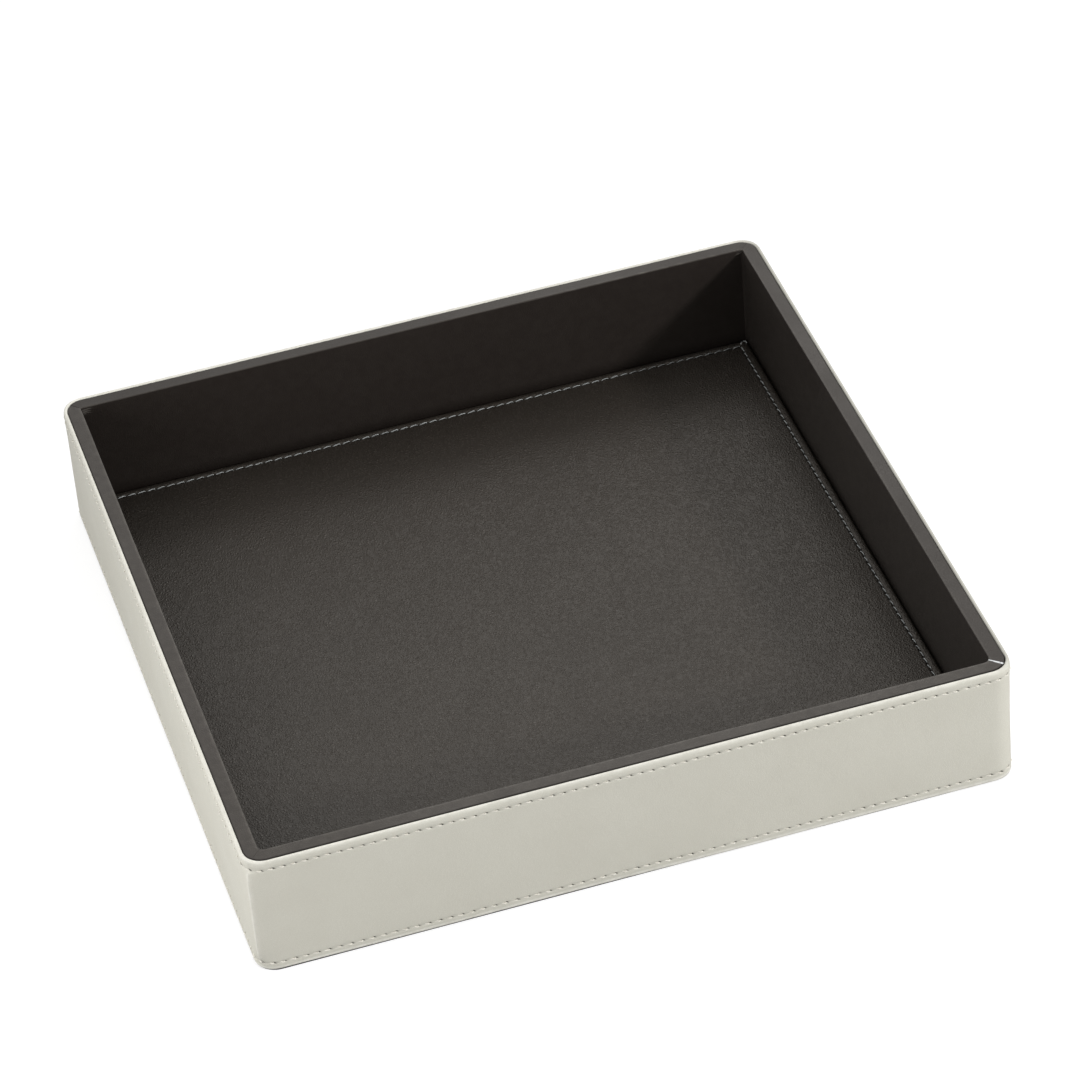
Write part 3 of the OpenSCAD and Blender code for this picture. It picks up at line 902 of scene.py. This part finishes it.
def pad_relief(x, y):
    """Lift of the pad's top and its marks, from the seams, the foam's crown and the leather's waves. The
    shade mark is painted shade in the seam's channel, at the pad's edge and towards the left wall.
    """
    swap = np.abs(x) > np.abs(y)
    along = np.where(swap, y, x)
    depth = PAD_HALF - np.where(swap, np.abs(x), np.abs(y))
    side = np.where(swap, np.where(x > 0, RIGHT, LEFT), np.where(y > 0, REAR, FRONT))
    index = np.round((along + PAD_SEAM_HALF) / PAD_PITCH)
    dx = along + PAD_SEAM_HALF - index * PAD_PITCH
    spare = PAD_STITCHES + 2
    own = rng(61).normal(0, 1, (4, spare + 1, 4))[side, np.clip(index, 0, spare).astype(int)]
    dz = depth - PAD_SEAM
    turned_dz = dz + 0.14 * np.clip(np.abs(dx), 0, 1) * np.sign(dx)
    lift, hole = seam_relief(dx, turned_dz, own * 0.7, **PAD_PITS)
    # Painted shade in the seam's channel, at the pad's edge and towards the left wall
    groove = CHANNEL_SHADE * bell(dz, 0.45) + PAD_EDGE_SHADE * ramp(-depth, -0.5, -0.05)
    groove = groove + PAD_LEFT_SHADE * ramp(-x, 55, 92)
    lift = lift + 0.10 * bell(depth - 1.1, 0.5)
    lift = lift + 0.16 * ramp(depth, PAD_SEAM + 0.5, PAD_SEAM + 7)
    crown = np.maximum(1 - (x / PAD_SEAM_HALF) ** 2, 0) * np.maximum(1 - (y / PAD_SEAM_HALF) ** 2, 0)
    lift = lift + PAD_CROWN * crown ** 0.6
    lift = lift + pad_sway(x, y) + waves(x, y, PAD_RIPPLE, seed=72) * ramp(depth, 2, 8)
    return lift, hole, groove


def floor_pad():
    """The floor's leather: rings from the hem underneath over the roll and the seam, then the field."""
    skin = Skin("hole", "groove", "edge")
    holes = np.arange(PAD_STITCHES + 1)
    # A side's columns run from its left corner hole up to its right one, which begins the next side
    fine = np.unique(np.round((-1 + (holes[:, None] + PAD_CELL) * 2 / PAD_STITCHES).ravel(), 9))
    fine = fine[(fine > -1 - 1e-9) & (fine < 1 - 1e-9)]
    fine[0] = -1.0
    on_hole = [int(np.argmin(np.abs(fine - (-1 + k * 2 / PAD_STITCHES)))) for k in range(PAD_STITCHES)]
    kept = np.concatenate([np.array(on_hole) + side * len(fine) for side in range(4)])

    def ring(depth, z, share, is_fine):
        """A ring round the pad, with a share of the relief."""
        columns = fine if is_fine else fine[on_hole]
        parts = [pad_plan(columns, depth, side) for side in range(4)]
        x = np.concatenate([p[0] for p in parts])
        y = np.concatenate([p[1] for p in parts])
        lift, hole, groove = pad_relief(x, y)
        return skin.row(x, y, z + lift * share ** 2, hole=hole * share, groove=groove * share)

    under = ((PAD_HEM, 0.0), (0.4, 0.0), (0.1, 0.15), (0.0, 0.5))
    rows = [(depth, PAD_BOTTOM + up, 0, False) for depth, up in under]
    for angle in (180, 155, 130, 110, 90):
        a = math.radians(angle)
        depth, z = PAD_ROLL + PAD_ROLL * math.cos(a), PAD_TOP - PAD_ROLL + PAD_ROLL * math.sin(a)
        rows.append((depth, z, math.sin(a), False))
    rows += [(PAD_SEAM + dz, PAD_TOP, 1, True) for dz in PAD_SEAM_ROWS]
    rows += [(depth, PAD_TOP, 1, False) for depth in (3.5, 4.2, 5.2)]
    made = [(ring(*row), row[-1]) for row in rows]
    for (a, fine_a), (b, fine_b) in zip(made, made[1:]):
        if fine_a == fine_b:
            skin.strip(a, b, closed=True)
        elif fine_a:
            skin.step(a, b, kept, closed=True)
        else:
            skin.step(b, a, kept, flip=True, closed=True)
    # The field inside the border
    n = PAD_STITCHES
    inner = PAD_HALF - rows[-1][0]
    border = made[-1][0]
    grid = np.zeros((n + 1, n + 1), int)
    places = np.linspace(-inner, inner, n + 1)
    grid[0, :n] = border[:n]
    grid[:n, n] = border[n:2 * n]
    grid[n, n:0:-1] = border[2 * n:3 * n]
    grid[n:0:-1, 0] = border[3 * n:]
    for j in range(1, n):
        x = places[1:n]
        lift, hole, groove = pad_relief(x, places[j])
        grid[j, 1:n] = skin.row(x, places[j], PAD_TOP + lift, hole=hole, groove=groove)
    for j in range(n):
        skin.strip(grid[j], grid[j + 1])
    # The flesh side goes round the foam and the card
    back = [made[0][0]]
    for depth, z in ((PAD_HEM, PAD_BOTTOM + PAD_LEAF), (PAD_LEATHER, PAD_BOTTOM + PAD_LEAF),
                     (PAD_LEATHER, PAD_TOP - PAD_ROLL), (PAD_ROLL, PAD_TOP - PAD_LEATHER)):
        back.append(ring(depth, z, 0, False))
    for a, b in zip(back, back[1:]):
        skin.strip(a, b, closed=True)
    skin.cap(back[-1])
    pad = place(skin.build("floor_pad", floor_leather), "floor_leather", "floor_pad_leather")
    return pad


def pad_seam():
    """The pad's stitches: short arches between the needle holes, each turned a little from the seam."""
    t = np.array([0, 0.05, 0.1, 0.17, 0.25, 0.35, 0.45, 0.55, 0.65, 0.75, 0.83, 0.9, 0.95, 1.0])
    rise = np.interp(t, [0, 0.05, 0.12, 0.25, 0.5, 0.75, 0.88, 0.95, 1.0],
                     [-0.5, -0.28, -0.12, -0.02, 0.01, 0.0, -0.10, -0.28, -0.5])
    centres, outward, radii = [], [], []
    r = rng(81)
    for side in range(4):
        own = r.normal(0, 1, (PAD_STITCHES, 3))
        start = -PAD_SEAM_HALF + np.arange(PAD_STITCHES) * PAD_PITCH
        along = start[:, None] + PAD_REACH[side] + t * (PAD_PITCH - 2 * PAD_REACH[side])
        slant = PAD_SLANT[side] + 0.03 * own[:, :1]
        across = slant * (2 * t - 1) + 0.08
        x, y = turned(along, -PAD_SEAM_HALF + across, side)
        z = PAD_TOP + pad_sway(x, y) + rise + 0.02 * own[:, 1:2] * np.sin(math.pi * t)
        centres.append(np.stack([x, y, z], axis=2))
        outward.append(np.broadcast_to([0.0, 0.0, 1.0], centres[-1].shape))
        thinner = 1 - 0.3 * ramp(np.abs(2 * t - 1), 0.8, 1.0)
        radii.append(PAD_THREAD_R * thinner * (1 + 0.04 * own[:, 2:]))
    corner = np.array([PAD_SEAM_HALF, PAD_SEAM_HALF, PAD_TOP])
    for path in LOOSE_ENDS:
        path = np.array(path)
        steps = np.linspace(0, 1, len(path))
        bent = np.stack([np.interp(t, steps, column) for column in path.T], axis=1)
        centres.append(corner + bent[None])
        outward.append(np.broadcast_to([0.0, 0.0, 1.0], centres[-1].shape))
        radii.append(np.full((1, len(t)), LOOSE_R))
    shape = [np.concatenate(parts) for parts in (centres, outward, radii)]
    return place(tubes("floor_stitches", *shape, grey_thread), "grey_thread", "floor_pad_stitching")


outer_band()
band_seam("top_stitches", "top_stitching", TOP_SEAM, TOP_HOLES)
band_seam("bottom_stitches", "bottom_stitching", BOTTOM_SEAM, BOTTOM_HOLES)
for side in range(4):
    wall_lining(side)
floor_pad()
pad_seam()

# What stays as the CAD has it
board = pressed("grey_board", rgb(168, 164, 155), rgb(116, 111, 102), size=0.5, depth=0.05)
card = pressed("grey_card", rgb(164, 160, 152), rgb(120, 115, 107), size=0.35, depth=0.03)
foam = pressed("foam", rgb(226, 221, 200), rgb(178, 170, 146), size=0.6, depth=0.2)
fibre = pressed(
    "bonded_fibre", rgb(224, 221, 210), rgb(190, 186, 172), size=0.4, depth=0.03, stretch=(1, 1, 0.4),
)
sheet = pressed(
    "underside_sheet", rgb(34, 33, 32), rgb(20, 19, 19), size=0.45, depth=0.06, roughness=0.6,
)
kept_nodes = {
    "base_board": board, "front_wall_board": board, "right_wall_board": board, "rear_wall_board": board,
    "left_wall_board": board, "floor_pad_card": card, "floor_pad_foam": foam, "band_stiffener": fibre,
    "underside_cover": sheet,
}
for node, material in kept_nodes.items():
    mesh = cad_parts[node].data
    mesh.materials.clear()
    mesh.materials.append(material)

# Camera, solved from the tray's edges in the photograph
IMAGE_SIDE = 1080
SENSOR = 36.0
FOCAL_PIXELS = 5023.5
CAMERA_AT = (-255.9, -1042.7, 899.1)
CAMERA_YAW, CAMERA_DOWN, CAMERA_ROLL = (math.radians(a) for a in (14.11, 38.881, -5.06))

forward = np.array([math.sin(CAMERA_YAW) * math.cos(CAMERA_DOWN),
                    math.cos(CAMERA_YAW) * math.cos(CAMERA_DOWN), -math.sin(CAMERA_DOWN)])
level = np.cross(forward, (0, 0, 1))
level /= np.linalg.norm(level)
above = np.cross(level, forward)
image_x = level * math.cos(CAMERA_ROLL) + above * math.sin(CAMERA_ROLL)
image_y = above * math.cos(CAMERA_ROLL) - level * math.sin(CAMERA_ROLL)
camera_data = bpy.data.cameras.new("camera")
camera_data.sensor_width = SENSOR
camera_data.lens = FOCAL_PIXELS / IMAGE_SIDE * SENSOR
camera_data.clip_start = 0.05
camera_data.clip_end = 20
camera = bpy.data.objects.new("camera", camera_data)
matrix = Matrix.Identity(4)
for column, axis in enumerate((image_x, image_y, -forward, np.array(CAMERA_AT) * MM)):
    for row in range(3):
        matrix[row][column] = axis[row]
camera.matrix_world = matrix
bpy.context.scene.collection.objects.link(camera)
bpy.context.scene.camera = camera


def lamp(name, toward, distance, size, power):
    """A square soft light that shines on the tray from a direction."""
    data = bpy.data.lights.new(name, "AREA")
    data.shape = "SQUARE"
    data.size = size
    data.energy = power
    direction = np.array(toward, float) / np.linalg.norm(toward)
    light = bpy.data.objects.new(name, data)
    light.location = direction * distance
    light.rotation_mode = "QUATERNION"
    light.rotation_quaternion = Vector(direction).to_track_quat("Z", "Y")
    bpy.context.scene.collection.objects.link(light)
    return light


# The key lamp stays out of reflections: seen from behind, it would glare on the floor
key = lamp("key", toward=(0.57, -0.70, 0.44), distance=1.6, size=0.14, power=19.8)
key.visible_glossy = False
lamp("left_fill", toward=(-0.36, -0.095, 0.09), distance=0.383, size=0.22, power=0.70)
lamp("glow", toward=(0.17, 0.42, 0.39), distance=0.60, size=0.15, power=0.29)

# A white studio that is brightest above and behind the tray, and plain white where the camera sees it:
# the brightest direction, the shares of it between which the strength changes, and the strength there
BRIGHT_TOWARD = (0.12, 0.65, 0.74)
BRIGHT_SHARES = (-0.1, 0.9)
BRIGHTNESS = (0.20, 1.16)
world = bpy.data.worlds.new("studio")
bpy.context.scene.world = world
studio = Nodes(world)
direction = studio.node("TexCoord", out="Generated")
share = studio.node(
    "VectorMath", {0: direction, 1: BRIGHT_TOWARD}, out="Value", operation="DOT_PRODUCT",
)
ceiling = studio.map(share, *BRIGHT_SHARES, *BRIGHTNESS)
path = studio.node("LightPath").node
clear_view = path.outputs["Is Camera Ray"]
for seen in ("Is Glossy Ray", "Is Transmission Ray"):
    clear_view = studio.math("MAXIMUM", clear_view, path.outputs[seen])
strength = studio.node("Mix", {"Factor": clear_view, "A": ceiling, "B": 1.0})
studio.set(studio.tree.nodes["Background"], {"Color": (1, 1, 1, 1), "Strength": strength})

# A pale table, which lets the camera see the tray from below
TABLE_REACH = 6.0
TABLE_Z = -0.0001
PAPER = (0.36, 0.36, 0.36, 1)
PAPER_GLOW = 0.70
paper = bpy.data.materials.new("paper")
table_top = Nodes(paper)
table_top.tree.nodes.clear()
diffuse = table_top.node("BsdfDiffuse", {"Color": PAPER})
in_view = table_top.node("LightPath", out="Is Camera Ray")
glow = table_top.node("Emission", {"Strength": table_top.math("MULTIPLY", in_view, PAPER_GLOW)})
both = table_top.node("AddShader", {0: diffuse, 1: glow})
clear = table_top.node("BsdfTransparent")
from_below = table_top.node("NewGeometry", out="Backfacing")
surface = table_top.node("MixShader", {0: from_below, 1: both, 2: clear})
table_top.set(table_top.tree.nodes.new("ShaderNodeOutputMaterial"), {"Surface": surface})
table_mesh = bpy.data.meshes.new("table")
corners = [(x * TABLE_REACH, y * TABLE_REACH, 0) for x, y in ((-1, -1), (1, -1), (1, 1), (-1, 1))]
table_mesh.from_pydata(corners, [], [(0, 1, 2, 3)])
table_mesh.materials.append(paper)
table = bpy.data.objects.new("table", table_mesh)
table.location.z = TABLE_Z
bpy.context.scene.collection.objects.link(table)

bpy.context.scene.view_settings.view_transform = "Standard"
